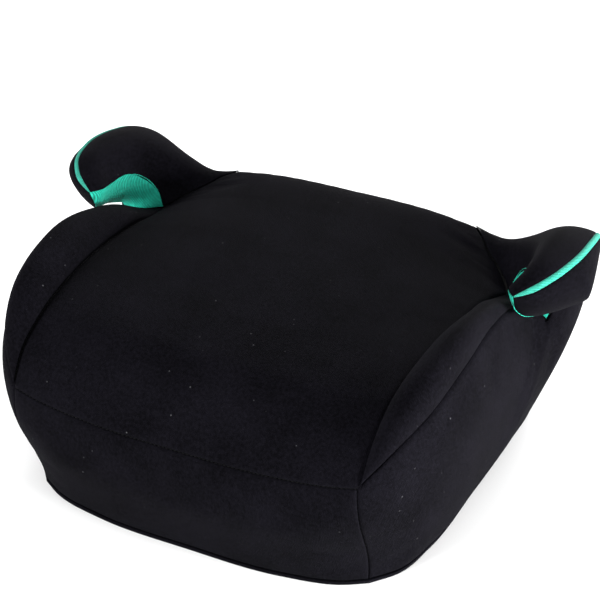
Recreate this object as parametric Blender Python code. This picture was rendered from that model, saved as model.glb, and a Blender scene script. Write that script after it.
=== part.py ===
"""Backless child booster seat: a moulded base, two belt guide armrests, foam pads and a sewn cover.

Lengths are in millimetres here and in metres in the scene. +Z is up, the child faces -Y, and the seat
is symmetric about X = 0. The origin is on the surface that the seat stands on, below its middle.

The outside is drawn once, as smooth patches between named seam curves. Each layer (cover panel, foam,
moulding) is a closed solid between two depths below that outside, so neighbouring layers never cross.
"""

import math

import bmesh
import bpy
import numpy as np
from mathutils import Vector
from mathutils.bvhtree import BVHTree

MM = 0.001

# Driving dimensions.
GAP = 0.3  # free space between pieces that touch
FOAM_GAP = 1.3  # free space below a foam pad
CORE_GAP = 0.7  # free space between a moulding and its cover where there is no foam
FOAM_INSET = 0.5  # from a foam pad's edge to the seam
COVER = 3.0  # fabric with its thin wadding
GUIDE_COVER = 2.2
SEAT_FOAM = 15.0
BOLSTER_FOAM = 7.0
GUIDE_FOAM = 5.0
EDGE_FOAM = 2.5  # where a foam pad runs out at a seam
FOAM_EDGE_SLOPE = 3  # faces from a foam pad's edge to its full thickness
SHELL_WALL = 3.2
RIB_WALL = 2.6
RIB_DEPTH = 24.0
HEM_HEIGHT = 2.7
HEM_WIDTH = 16.0
FOOT = HEM_HEIGHT + GAP  # height of the skirt's lower edge
STRIP_WIDTH = 6.0
DECK_SINK = 8.0
SCREW_RADIUS = 2.0
SCREW_HEAD_RADIUS = 4.2
SCREW_HEAD_HEIGHT = 2.6
SCREW_GRIP = 11.0  # length of thread inside the belt guide
SCREW_SEAT = 1.0  # how deep the head's flat seat is cut into the shell
SHIFT_Y = 4.1  # moves the drawing so that the origin is below the middle of the box

# Segments along each stretch of seam. Opposite sides of a patch have equal totals.
ALONG_BOLSTER = 9
ALONG_GUIDE = 10
ACROSS_BOLSTER = 6
ACROSS_THROAT_SIDE = 2
ACROSS_GUIDE = ACROSS_BOLSTER + ACROSS_THROAT_SIDE
NOSE = 4  # guide nose to elbow, and throat to elbow
ELBOW_TO_REAR = ALONG_GUIDE - NOSE
ALONG_SIDE = ALONG_BOLSTER + ACROSS_THROAT_SIDE + ALONG_GUIDE
ACROSS_SEAT = 12
DOWN_SKIRT = 6
ROUND_OUTER = 4

# Corners of the right half (x, y, z).
FRONT_CORNER = (145, -169, 110)
FRONT_FOOT = (143, -139, FOOT)
REAR_SEAT = (110, 141, 158)
REAR_FOOT = (166, 158, FOOT)
THROAT_INNER = (159, 90, 135)
THROAT_SEAM = (183, 84, 130)
THROAT_OUTER = (193.5, 87, 121)
NOSE_TIP = (187, 19, 177)
ELBOW = (197.5, 86, 132)
GUIDE_REAR = (211, 152, 169)

# Knots between those corners.
INNER_SEAM = [(146, -150, 135), (146, -120, 151), (149, -60, 159), (153, 0, 154)]
INNER_SEAM += [(152, 36, 150), (154, 64, 143)]
OUTER_SEAM = [(163, -150, 133), (176, -120, 148), (182, -60, 160), (180, 0, 160), (180, 45, 151)]
SEAT_SIDE_SEAM = [(152, 100, 139), (143, 109, 144.5), (132, 117, 150.5), (122, 128, 156)]
GUIDE_REAR_EDGE = [(192, 150, 167), (162, 146, 156.5), (134, 142, 151.5)]
THROAT_SEAM_FRONT = [(171, 88, 132)]
THROAT_SIDE = [(188.5, 86, 125.5)]
THROAT_OUTER_EDGE = [(195.7, 87.5, 126.5)]
GUIDE_LOWER_EDGE = [(206, 98, 140), (213, 115, 150), (216, 134, 161)]
NOSE_LOWER_EDGE = [(187, 27, 161), (191, 35, 152), (196, 46, 147), (200, 64, 141)]
STRIP_LINE = [(200, 25, 184), (211, 38, 190), (219, 66, 192), (219, 112, 186), (216, 135, 179)]
LINING_SEAM = [(181, 25, 177.5), (182, 45, 173.5), (180, 68, 172)]
LINING_SEAM += [(175, 80, 167), (169, 87, 159), (163.5, 91, 148)]
FRONT_SEAM = [(125, -172.5, 107.5), (80, -176, 104), (0, -177, 102.5)]
FRONT_FOOT_EDGE = [(125, -150, FOOT), (80, -161, FOOT), (0, -164, FOOT)]
SIDE_FOOT_EDGE = [(159, -118, FOOT), (168, -80, FOOT), (172, 0, FOOT), (174, 80, FOOT), (173, 130, FOOT)]
SEAT_REAR_EDGE = [(80, 142, 162), (0, 143, 164)]
REAR_FOOT_EDGE = [(145, 166, FOOT), (0, 170, FOOT)]

# Places of the screws in the right belt guide (x, y).
SCREWS = [(176, 112), (160, 124), (192, 122)]

# The seat's middle line as (y, z), from the front seam to the rear edge.
SEAT_MIDDLE = [(-177, 102.5), (-159, 130), (-134, 149), (-105, 156), (-76, 159.5), (-45, 162), (-10, 164.5)]
SEAT_MIDDLE += [(30, 166.5), (72, 168.4), (100, 169.3), (120, 168.5), (143, 164)]

# Bulges: (share of the way along, amount), read between by a smooth curve.
BOLSTER_INNER_RISE = [(0, 0), (0.3, 23), (0.55, 26), (0.75, 14), (0.9, 2), (1, 0)]
BOLSTER_OUTER_RISE = [(0, 0), (0.3, 33), (0.55, 37), (0.75, 20), (0.9, 6), (1, 2)]

# Handles of the skirt's ribs, as (share of the way along, x, y, z), from the top edge and from the foot.
SIDE_TOP = [(0, 3, -6, -44), (0.2, 18, -5, -44), (0.43, 18, -28, -36), (0.52, 12, -12, -40)]
SIDE_TOP += [(0.71, 9, 13, -42), (0.85, 4, 5, -44), (1, -11, 0, -44)]
SIDE_FOOT = [(0, 4, -6, 44), (0.2, 21, -1, 44), (0.45, 22, 0, 44), (0.7, 18, 0, 44)]
SIDE_FOOT += [(0.85, 14, 0, 44), (1, 4, 2, 44)]

# Handles of the belt guide's inner ribs, from the coloured strip and from the seat seam.
GUIDE_TOP = [(0, -46, 8, 22), (0.4, -60, 10, 26), (0.7, -48, 4, 16), (1, -20, 0, 2)]
GUIDE_FOOT = [(0, 46, -12, -4), (0.4, 58, -12, -16), (0.7, 42, -6, -8), (1, 20, 0, -4)]
GUIDE_MOUTH_FADE = 3.2
GUIDE_REAR_FADE = 4


def smooth(knots, at):
    """Catmull-Rom curve through (position, value) knots, read at the given positions."""
    places = np.array([k[0] for k in knots], float)
    values = np.array([k[1] for k in knots], float)
    slopes = np.gradient(values, places, axis=0)
    at = np.clip(np.asarray(at, float), places[0], places[-1])
    i = np.clip(np.searchsorted(places, at, side="right") - 1, 0, len(places) - 2)
    step = places[i + 1] - places[i]
    t = (at - places[i]) / step
    if values.ndim > 1:
        t = t[:, None]
        step = step[:, None]
    ahead = (3 - 2 * t) * t * t
    return (
        values[i] * (1 - ahead)
        + values[i + 1] * ahead
        + slopes[i] * step * t * (1 - t) ** 2
        - slopes[i + 1] * step * t * t * (1 - t)
    )


def seam(points, count):
    """Points evenly spaced along a smooth curve through the given points."""
    points = np.array(points, float)
    places = np.concatenate([[0], np.cumsum(np.linalg.norm(np.diff(points, axis=0), axis=1))])
    fine = smooth(list(zip(places, points)), np.linspace(0, places[-1], 40 * len(points)))
    length = np.concatenate([[0], np.cumsum(np.linalg.norm(np.diff(fine, axis=0), axis=1))])
    at = np.linspace(0, length[-1], count + 1)
    return np.stack([np.interp(at, length, fine[:, k]) for k in range(3)], axis=1)


def mirrored(points):
    return np.asarray(points, float) * (-1, 1, 1)


def whole(half):
    """All of a curve, from left to right, from its right-hand half, which ends at x = 0."""
    return [tuple(mirrored(p)) for p in half] + list(half[:-1])[::-1]


def join(*curves):
    return np.concatenate([curves[0]] + [c[1:] for c in curves[1:]])


def along(knots, share):
    return np.stack([smooth([(k[0], k[1 + i]) for k in knots], share) for i in range(3)], axis=1)


def coons(start, end, left, right):
    """Surface between four curves. start and end run left to right; left and right run from start to end."""
    u = np.linspace(0, 1, len(start))[None, :, None]
    v = np.linspace(0, 1, len(left))[:, None, None]
    ruled = (1 - v) * start[None] + v * end[None] + (1 - u) * left[:, None] + u * right[:, None]
    corners = (1 - v) * ((1 - u) * start[0] + u * start[-1]) + v * ((1 - u) * end[0] + u * end[-1])
    return ruled - corners


def arched(top, foot, top_pull, foot_pull, rows):
    """Surface of cubic Bezier ribs from each top point to its foot point. The pulls are the ribs' handles."""
    v = np.linspace(0, 1, rows + 1)[:, None, None]
    return (
        (1 - v) ** 3 * top
        + 3 * (1 - v) ** 2 * v * (top + top_pull)
        + 3 * (1 - v) * v * v * (foot + foot_pull)
        + v**3 * foot
    )


def hump(rows, cols, power=1.0):
    """Weights of 1 in the middle of a patch and 0 on its edges."""
    u = np.linspace(0, 1, cols + 1)[None, :, None]
    v = np.linspace(0, 1, rows + 1)[:, None, None]
    return (16 * u * (1 - u) * v * (1 - v)) ** power


def curves():
    """Every seam curve of the right half, and the ones that cross the middle."""
    c = {}
    c["inner_seam"] = seam([FRONT_CORNER, *INNER_SEAM, THROAT_INNER], ALONG_BOLSTER)
    c["outer_seam"] = seam([FRONT_CORNER, *OUTER_SEAM, THROAT_SEAM], ALONG_BOLSTER)
    c["seat_side"] = seam([THROAT_INNER, *SEAT_SIDE_SEAM, REAR_SEAT], ALONG_GUIDE)
    c["guide_rear"] = seam([GUIDE_REAR, *GUIDE_REAR_EDGE, REAR_SEAT], ACROSS_GUIDE)
    c["throat_seam"] = seam([THROAT_INNER, *THROAT_SEAM_FRONT, THROAT_SEAM], ACROSS_BOLSTER)
    c["throat_side"] = seam([THROAT_SEAM, *THROAT_SIDE, THROAT_OUTER], ACROSS_THROAT_SIDE)
    c["throat_outer"] = seam([THROAT_OUTER, *THROAT_OUTER_EDGE, ELBOW], NOSE)
    c["guide_lower"] = seam([ELBOW, *GUIDE_LOWER_EDGE, GUIDE_REAR], ELBOW_TO_REAR)
    c["nose_lower"] = seam([NOSE_TIP, *NOSE_LOWER_EDGE, ELBOW], NOSE)
    c["strip"] = seam([NOSE_TIP, *STRIP_LINE, GUIDE_REAR], ALONG_GUIDE)
    c["lining"] = seam([NOSE_TIP, *LINING_SEAM, THROAT_INNER], ACROSS_GUIDE)
    c["side_foot"] = seam([FRONT_FOOT, *SIDE_FOOT_EDGE, REAR_FOOT], ALONG_SIDE)
    c["front_seam"] = seam(whole([FRONT_CORNER, *FRONT_SEAM]), ACROSS_SEAT)
    c["front_foot"] = seam(whole([FRONT_FOOT, *FRONT_FOOT_EDGE]), ACROSS_SEAT)
    c["seat_rear"] = seam(whole([REAR_SEAT, *SEAT_REAR_EDGE]), ACROSS_SEAT)
    c["rear_foot"] = seam(whole([REAR_FOOT, *REAR_FOOT_EDGE]), ACROSS_SEAT + 2 * ACROSS_GUIDE)
    return c


def strip_edges(c):
    """The inner and outer edges of the coloured strip, which has blunt rounded ends."""
    line = c["strip"]
    share = np.linspace(0, 1, len(line))
    half = STRIP_WIDTH / 2 * np.sqrt(np.clip(np.minimum(share, 1 - share) * 10, 0, 1))
    inward = np.stack([-0.75 * half, 0 * half, 0.6 * half], axis=1)
    return line + inward, line - inward


def deck_patch(c):
    """The sunk seat of the right belt guide, between the shell and the guide."""
    throat = join(c["throat_seam"], c["throat_side"])
    deck = coons(throat, c["guide_rear"][::-1], c["seat_side"], join(c["throat_outer"], c["guide_lower"]))
    return deck - hump(ALONG_GUIDE, ACROSS_GUIDE, 0.8) * (0, 0, DECK_SINK)


def body_patches(c):
    """Patches of the seat body: {name: grid of points}. The decks are where the belt guides stand."""
    right = join(c["inner_seam"], c["seat_side"])
    seat = coons(c["front_seam"], c["seat_rear"], mirrored(right), right)
    across = np.linspace(-1, 1, ACROSS_SEAT + 1)
    line = seat[:, ACROSS_SEAT // 2]
    crown = smooth(SEAT_MIDDLE, line[:, 1]) - line[:, 2]
    seat[:, :, 2] += crown[:, None] * (1 - np.abs(across) ** 2.4)
    patches = {"seat": seat}

    share = np.linspace(0, 1, ALONG_BOLSTER + 1)
    inner, outer = c["inner_seam"], c["outer_seam"]
    rise = smooth(BOLSTER_INNER_RISE, share)
    outer_rise = smooth(BOLSTER_OUTER_RISE, share)
    start_pull = np.stack([0.15 * (outer - inner)[:, 0], 0 * share, rise], axis=1)
    end_pull = np.stack([0.1 * outer_rise, 0 * share, outer_rise], axis=1)
    bolster = arched(inner, outer, start_pull, end_pull, ACROSS_BOLSTER)
    fade = np.clip((share - 0.75) / 0.25, 0, 1) ** 2
    bolster += fade[None, :, None] * (c["throat_seam"] - bolster[:, -1])[:, None]
    bolster = bolster.transpose(1, 0, 2)

    top = join(outer, c["throat_side"], c["throat_outer"], c["guide_lower"])
    share = np.linspace(0, 1, len(top))
    side = arched(top, c["side_foot"], along(SIDE_TOP, share), along(SIDE_FOOT, share), DOWN_SKIRT)

    middle = 1 - np.abs(across)[:, None] ** 4
    side_pull = np.sign(across)[:, None] * np.abs(across)[:, None] ** 9 * (1, 0, 0)
    lift = side_pull * SIDE_TOP[0][1] + (0, *SIDE_TOP[0][2:]) + middle * (0, -10, 8)
    drop = side_pull * SIDE_FOOT[0][1] + (0, *SIDE_FOOT[0][2:]) + middle * (0, -4, 0)
    patches["front"] = arched(c["front_seam"], c["front_foot"], lift, drop, DOWN_SKIRT)

    top = join(mirrored(c["guide_rear"]), c["seat_rear"], c["guide_rear"][::-1])
    across = np.linspace(-1, 1, len(top))
    middle = 1 - np.abs(across)[:, None] ** 4
    side_pull = np.sign(across)[:, None] * np.abs(across)[:, None] ** 9 * (1, 0, 0)
    lift = side_pull * SIDE_TOP[-1][1] + (0, *SIDE_TOP[-1][2:]) + middle * (0, 10, 0)
    drop = side_pull * SIDE_FOOT[-1][1] + (0, *SIDE_FOOT[-1][2:]) + middle * (0, 6, 0)
    patches["rear"] = arched(top, c["rear_foot"], lift, drop, DOWN_SKIRT)

    for name, grid in (("bolster", bolster), ("deck", deck_patch(c)), ("side", side)):
        patches["right_" + name] = grid
        patches["left_" + name] = mirrored(grid)
    return patches


def guide_patches(c):
    """Patches of the right belt guide: a closed skin with its foot on the deck."""
    strip_in, strip_out = strip_edges(c)
    back = np.linspace(0, 1, ALONG_GUIDE + 1)
    top_pull, foot_pull = along(GUIDE_TOP, back), along(GUIDE_FOOT, back)
    inner = arched(strip_in, c["seat_side"], top_pull, foot_pull, ACROSS_GUIDE)
    front = (1 - back[None, :, None]) ** GUIDE_MOUTH_FADE * (c["lining"] - inner[:, 0])[:, None]
    rear = back[None, :, None] ** GUIDE_REAR_FADE * (c["guide_rear"] - inner[:, -1])[:, None]
    inner = inner + front + rear
    lower = join(c["nose_lower"], c["guide_lower"])
    width = np.linalg.norm(strip_out - lower, axis=1)[:, None]
    top_pull = width**2 * (0.005, -0.0015, -0.005)
    foot_pull = width**2 * (0.008, -0.0015, 0.005)
    outer = arched(strip_out, lower, top_pull, foot_pull, ROUND_OUTER)
    throat = join(c["throat_seam"], c["throat_side"])
    tip = np.repeat(c["lining"][:1], ACROSS_GUIDE + 1, axis=0)
    lining = coons(tip, throat, c["lining"], join(c["nose_lower"], c["throat_outer"][::-1]))
    strip = np.stack([strip_in, c["strip"] + (0.5, 0, 0.6), strip_out])
    strip[1, 0] = c["strip"][0]
    strip[1, -1] = c["strip"][-1]
    return {"inner": inner, "outer": outer, "lining": lining, "strip": strip, "foot": deck_patch(c)}


class Skin:
    """Patches welded into one triangle mesh, with a normal at each point and the patch name of each face.

    Depths as far as the cover's are along the normals, and deeper ones go on along smoothed normals.
    """

    def __init__(self, patches, smoothing=0):
        places, self.points, self.faces, self.owner = {}, [], [], []
        for name, grid in patches.items():
            index = [[self._add(places, p) for p in row] for row in grid]
            rows, cols = len(index) - 1, len(index[0]) - 1
            for i in range(rows):
                for j in range(cols):
                    quad = index[i][j], index[i][j + 1], index[i + 1][j + 1], index[i + 1][j]
                    sides = self._lengths(quad)
                    # A corner is cut through its corner point, so that two patches never share a face.
                    at_corner = i in (0, rows - 1) and j in (0, cols - 1)
                    straight = (i == 0) == (j == 0) if at_corner else sides[0] < sides[1] + 0.001
                    self._add_quad(name, quad, straight)
        self.points = np.array(self.points)
        self._face_outwards()
        self.normals = self._normals()
        self.deep_normals = self._smoothed(smoothing)

    def _add(self, places, point):
        key = tuple(np.round(np.asarray(point) / 0.02).astype(int))
        if key not in places:
            places[key] = len(self.points)
            self.points.append(np.asarray(point, float))
        return places[key]

    def _lengths(self, quad):
        a, b, c, d = (self.points[i] for i in quad)
        return np.linalg.norm(a - c), np.linalg.norm(b - d)

    def _add_quad(self, name, quad, straight):
        a, b, c, d = quad
        pair = ((a, b, c), (a, c, d)) if straight else ((a, b, d), (b, c, d))
        for face in pair:
            if len(set(face)) == 3:
                self.faces.append(face)
                self.owner.append(name)

    def _face_outwards(self):
        """Turns every face the way its neighbours face, and the whole skin outwards."""
        mesh = bmesh.new()
        verts = [mesh.verts.new(p) for p in self.points]
        faces = [mesh.faces.new([verts[i] for i in f]) for f in self.faces]
        bmesh.ops.recalc_face_normals(mesh, faces=faces)
        mesh.verts.index_update()
        self.faces = np.array([[v.index for v in f.verts] for f in faces])
        top = max(faces, key=lambda f: f.calc_center_median().z)
        if top.normal.z < 0:
            self.faces = self.faces[:, ::-1]
        mesh.free()

    def _normals(self):
        corner = self.points[self.faces]
        sides = np.roll(corner, -1, axis=1) - corner
        sides /= np.linalg.norm(sides, axis=2)[:, :, None]
        face = np.cross(corner[:, 1] - corner[:, 0], corner[:, 2] - corner[:, 0])
        face /= np.linalg.norm(face, axis=1)[:, None]
        total = np.zeros_like(self.points)
        for k in range(3):
            angle = np.arccos(np.clip(-(sides[:, k] * sides[:, k - 1]).sum(1), -1, 1))
            np.add.at(total, self.faces[:, k], face * angle[:, None])
        return self._unit(total)

    def _unit(self, vectors):
        """Unit vectors, and level ones along the lower edge."""
        vectors = vectors.copy()
        vectors[self.points[:, 2] < FOOT + 0.01, 2] = 0
        return vectors / np.linalg.norm(vectors, axis=1)[:, None]

    def _smoothed(self, rounds):
        normals = self.normals
        for _ in range(rounds):
            total = normals.copy()
            for a, b in ((0, 1), (1, 2), (2, 0)):
                np.add.at(total, self.faces[:, a], 0.5 * normals[self.faces[:, b]])
                np.add.at(total, self.faces[:, b], 0.5 * normals[self.faces[:, a]])
            normals = self._unit(total)
        return normals

    def of(self, *names):
        return self.faces[np.isin(self.owner, names)]

    def at_depth(self, depth, points=None):
        """The skin's points (or others near them) moved inwards."""
        points = self.points if points is None else points
        depth = np.broadcast_to(depth, len(points))[:, None]
        near = np.minimum(depth, COVER + GAP)
        return points - self.normals * near - self.deep_normals * (depth - near)

    def rank(self, *names):
        """How many faces each point lies from these patches' edge: 0 on it and -1 outside."""
        faces = self.of(*names)
        rank = np.full(len(self.points), -1)
        rank[faces.ravel()] = 99
        rank[edge_of(faces).ravel()] = 0
        for step in range(1, 20):
            near = faces[(rank[faces] == step - 1).any(axis=1)].ravel()
            rank[near[rank[near] == 99]] = step
        return rank

    def thickness(self):
        """How far it is from each point through the solid to the skin's other side."""
        tree = BVHTree.FromPolygons(self.points.tolist(), self.faces.tolist())
        found = []
        for point, normal in zip(self.points, self.normals):
            hit = tree.ray_cast(Vector(point - 0.05 * normal), Vector(-normal), 100)
            found.append(100.0 if hit[3] is None else hit[3])
        return np.array(found)

    def least_near(self, values):
        """The least of each point's value and its neighbours'."""
        least = values.copy()
        np.minimum.at(least, self.faces.ravel(), np.repeat(values[self.faces].min(axis=1), 3))
        return least


def edge_of(faces):
    """The directed edges that only one of these faces has."""
    edges = {(f[k], f[(k + 1) % 3]) for f in faces for k in range(3)}
    return np.array([e for e in edges if (e[1], e[0]) not in edges])


def layer(name, skin, faces, outer, inner, material, inset=0.35):
    """A closed solid between two depths under some faces of the skin, drawn in by inset at its edge."""
    edge = edge_of(faces)
    points = skin.points.copy()
    pull = np.zeros_like(points)
    for face in faces:
        pull[face] += points[face].mean(axis=0) - points[face]
    rim = np.unique(edge)
    on_floor = skin.points[:, 2] < FOOT + 0.01
    pull[on_floor, 2] = 0
    pull[rim] /= np.linalg.norm(pull[rim], axis=1)[:, None]
    points[rim] += inset * pull[rim]
    used = np.unique(faces)
    place = {p: i for i, p in enumerate(used)}
    top = skin.at_depth(outer, points)[used]
    low = skin.at_depth(inner, points)[used]
    count = len(used)
    solid = [[place[i] for i in f] for f in faces]
    solid += [[place[i] + count for i in f[::-1]] for f in faces]
    for a, b in edge:
        # Both neighbours at a seam split its wall the same way, so that their walls stay apart.
        near, far = place[a], place[b]
        if a < b:
            solid += [[far, near, near + count], [far, near + count, far + count]]
        else:
            solid += [[far, near, far + count], [near, near + count, far + count]]
    return make(name, np.concatenate([top, low]), solid, material)


def make(name, points, faces, material=None):
    """An object from points in millimetres."""
    mesh = bpy.data.meshes.new(name)
    points = (np.asarray(points) + (0, SHIFT_Y, 0)) * MM
    mesh.from_pydata(points.tolist(), [], [tuple(int(i) for i in f) for f in faces])
    if material:
        mesh.materials.append(material)
    obj = bpy.data.objects.new(name, mesh)
    bpy.context.scene.collection.objects.link(obj)
    return obj


def hide(tool):
    tool.hide_render = True
    tool.display_type = "WIRE"
    return tool


def cut(obj, tool, operation="DIFFERENCE"):
    modifier = obj.modifiers.new(operation.lower(), "BOOLEAN")
    modifier.operation = operation
    modifier.object = tool
    modifier.solver = "EXACT"


def turned(name, profile, foot, axis, material=None, sides=12):
    """A solid of revolution from (radius, height) points along the axis, from 0 to 0 radius."""
    turn = Vector(axis).to_track_quat("Z", "Y").to_matrix()
    points, rings = [], []
    for radius, height in profile:
        ring = []
        for k in range(sides if radius else 1):
            angle = 2 * math.pi * k / sides
            ring.append(len(points))
            spoke = Vector((radius * math.cos(angle), radius * math.sin(angle), height))
            points.append(Vector(foot) + turn @ spoke)
        rings.append(ring)
    faces = []
    for low, high in zip(rings, rings[1:]):
        for k in range(sides):
            near = [low[k % len(low)], low[(k + 1) % len(low)]]
            far = [high[(k + 1) % len(high)], high[k % len(high)]]
            faces.append(list(dict.fromkeys(near + far)))
    return make(name, points, faces, material)


def foam_depth(skin, thickness, *names):
    """Foam thickness at each point: full inside the patches, thin at their edge, none outside."""
    rank = skin.rank(*names)
    share = np.clip(rank / FOAM_EDGE_SLOPE, 0, 1)
    share = (3 - 2 * share) * share**2
    return np.where(rank < 0, 0, EDGE_FOAM + (thickness - EDGE_FOAM) * share)


def underside(skin, depth):
    """A search tree of the shell's inner face."""
    points = skin.at_depth(depth)
    return BVHTree.FromPolygons(points.tolist(), skin.faces.tolist())


def add_ribs(shell, tree):
    """Stiffening ribs below the seat, moulded in one with the shell."""
    lines = [((x, -130), (x, 110)) for x in (-75, 0, 75)] + [((-125, y), (125, y)) for y in (-70, 20)]
    for k, (start, end) in enumerate(lines):
        start, end = np.array(start, float), np.array(end, float)
        side = np.array([end[1] - start[1], start[0] - end[0]]) / np.linalg.norm(end - start) * RIB_WALL / 2
        points = []
        steps = 16
        for t in np.linspace(0, 1, steps + 1):
            place = start + (end - start) * t
            top = tree.ray_cast(Vector((*place, FOOT)), Vector((0, 0, 1)))[0].z
            for x, y in (place + side, place - side):
                points += [(x, y, top - RIB_DEPTH), (x, y, top + SHELL_WALL / 2)]
        faces = [[0, 1, 3, 2], [4 * steps + 2, 4 * steps + 3, 4 * steps + 1, 4 * steps]]
        for i in range(0, 4 * steps, 4):
            faces += [[i + a, i + b, i + b + 4, i + a + 4] for a, b in ((1, 0), (3, 1), (2, 3), (0, 2))]
        rib = hide(make(f"rib_{k}", points, faces))
        cut(shell, rib, "UNION")


def add_screws(side, sign, shell, core, tree):
    """Screws up through the shell into one belt guide, each in its own clearance hole."""
    for k, (x, y) in enumerate(SCREWS):
        start = Vector((sign * x, y, 100))
        place, normal, _, _ = tree.ray_cast(start, Vector((0, 0, 1)))
        axis = normal if normal.z > 0 else -normal
        seat = place + axis * SCREW_SEAT
        reach = SHELL_WALL - SCREW_SEAT + SCREW_GRIP
        hole = SCREW_RADIUS + GAP
        recess = SCREW_HEAD_RADIUS + GAP
        profile = [(0, -9), (recess, -9), (recess, 0), (hole, 0), (hole, reach + GAP), (0, reach + GAP)]
        tool = hide(turned(f"{side}_hole_{k + 1}", profile, seat, axis))
        cut(shell, tool)
        cut(core, tool)
        low = -GAP - SCREW_HEAD_HEIGHT
        head = [(0, low), (0.7 * SCREW_HEAD_RADIUS, low)]
        head += [(SCREW_HEAD_RADIUS, low + 1), (SCREW_HEAD_RADIUS, -GAP)]
        shank = [(SCREW_RADIUS, -GAP), (SCREW_RADIUS, reach - 1.5), (0.5, reach), (0, reach)]
        name = f"{side}_screw_{k + 1}"
        turned(name, head + shank, seat, axis, paint(name + "_steel", (0.6, 0.6, 0.62), 0.35, 1.0))


def hem(skin, material):
    """The cover's turned-under edge: a flat ring that the seat stands on."""
    after = {a: b for a, b in edge_of(skin.faces)}
    loop = [min(after)]
    while after[loop[-1]] != loop[0]:
        loop.append(after[loop[-1]])
    outside = skin.points[loop] * (1, 1, 0)
    inside = outside - HEM_WIDTH * skin.deep_normals[loop]
    up = np.array([0, 0, HEM_HEIGHT])
    points = np.concatenate([outside, inside, inside + up, outside + up])
    n = len(loop)
    faces = []
    for i in range(n):
        j = (i + 1) % n
        faces += [[j + r * n, i + r * n, i + (r + 1) % 4 * n, j + (r + 1) % 4 * n] for r in range(4)]
    return make("cover_hem", points, faces, material)


def paint(name, colour, roughness, metallic=0.0):
    material = bpy.data.materials.new(name)
    material.use_nodes = True
    shader = material.node_tree.nodes["Principled BSDF"]
    shader.inputs["Base Color"].default_value = (*colour, 1)
    shader.inputs["Roughness"].default_value = roughness
    shader.inputs["Metallic"].default_value = metallic
    return material


def clear_scene():
    for obj in list(bpy.data.objects):
        bpy.data.objects.remove(obj)


def main():
    clear_scene()
    black = (0.012, 0.012, 0.016)
    green = (0.09, 0.6, 0.42)
    grey = (0.25, 0.25, 0.27)
    c = curves()

    body = Skin(body_patches(c), smoothing=6)
    for name in ("seat", "front", "rear", "right_bolster", "left_bolster", "right_side", "left_side"):
        layer(name + "_panel", body, body.of(name), 0, COVER, paint(name + "_fabric", black, 0.85))
    foam = foam_depth(body, SEAT_FOAM, "seat")
    under = COVER + GAP
    layer("seat_foam", body, body.of("seat"), under, under + foam, paint("seat_foam", grey, 0.95), FOAM_INSET)
    for side in ("right", "left"):
        pad = foam_depth(body, BOLSTER_FOAM, side + "_bolster")
        name = side + "_bolster_foam"
        layer(name, body, body.of(side + "_bolster"), under, under + pad, paint(name, grey, 0.95), FOAM_INSET)
        foam = np.maximum(foam, pad)
    depth = under + np.where(foam > 0, foam + FOAM_GAP, CORE_GAP)
    for side in ("right", "left"):
        depth[body.rank(side + "_deck") > 0] = GAP
    shell_paint = paint("base_plastic", (0.03, 0.03, 0.033), 0.5)
    shell = layer("base_shell", body, body.faces, depth, depth + SHELL_WALL, shell_paint, 0)
    tree = underside(body, depth + SHELL_WALL)
    add_ribs(shell, tree)
    hem(body, paint("hem_fabric", black, 0.85))

    for side, sign in (("right", 1), ("left", -1)):
        patches = {name: (sign, 1, 1) * grid + (0, 0, GAP) for name, grid in guide_patches(c).items()}
        guide = Skin(patches)
        foam = foam_depth(guide, GUIDE_FOAM, "inner")
        depth = under + np.where(foam > 0, foam + FOAM_GAP, CORE_GAP)
        thin = guide.least_near(guide.least_near(np.minimum(1, 0.24 * guide.thickness() / depth)))
        for name, colour in (("inner", black), ("outer", black), ("lining", green), ("strip", green)):
            piece = f"{side}_guide_{name}"
            fabric = paint(piece + "_fabric", colour, 0.85)
            layer(piece, guide, guide.of(name), 0, thin * GUIDE_COVER, fabric, 0.2)
        name = f"{side}_guide_foam"
        thick = guide.of("inner")
        thick = thick[(thin[thick] > 0.75).all(axis=1)]
        layer(name, guide, thick, thin * under, thin * (under + foam), paint(name, grey, 0.95), 0.8)
        depth = np.where(guide.rank("foot") > 0, GAP, thin * depth)
        core_paint = paint(f"{side}_guide_plastic", (0.03, 0.03, 0.033), 0.5)
        core = make(f"{side}_guide_core", guide.at_depth(depth), guide.faces, core_paint)
        add_screws(side, sign, shell, core, tree)


main()
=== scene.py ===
"""Looks of the backless booster seat: a sewn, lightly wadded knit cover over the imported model.

Lengths are in millimetres until a mesh is made, and in metres in the scene. +Z is up and the child faces -Y.
The cover's patches are drawn between the same seam curves as the CAD model's, with many more points and
with extra rows beside each seam. The seat body's panels are then puffed by a cloth simulation, and the belt
guides' by a formula. Every panel sinks at its seams, and the body's seams are stitched.
"""

import math
from collections import namedtuple

import bmesh
import bpy
import numpy as np
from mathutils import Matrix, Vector, noise


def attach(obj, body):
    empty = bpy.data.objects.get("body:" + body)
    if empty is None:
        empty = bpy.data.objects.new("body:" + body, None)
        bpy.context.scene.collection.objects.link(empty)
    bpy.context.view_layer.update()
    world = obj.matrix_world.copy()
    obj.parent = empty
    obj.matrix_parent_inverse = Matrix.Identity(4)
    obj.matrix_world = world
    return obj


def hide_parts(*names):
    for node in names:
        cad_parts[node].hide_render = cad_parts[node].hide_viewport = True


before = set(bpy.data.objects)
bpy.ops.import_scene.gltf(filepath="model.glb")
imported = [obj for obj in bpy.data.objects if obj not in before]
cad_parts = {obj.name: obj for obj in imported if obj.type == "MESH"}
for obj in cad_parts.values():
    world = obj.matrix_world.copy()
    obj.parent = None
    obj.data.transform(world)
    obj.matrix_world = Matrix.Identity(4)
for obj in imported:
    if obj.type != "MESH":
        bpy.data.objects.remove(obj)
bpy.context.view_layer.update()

MM = 0.001
SHIFT_Y = 4.1  # from the drawing's origin to the model's

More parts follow.
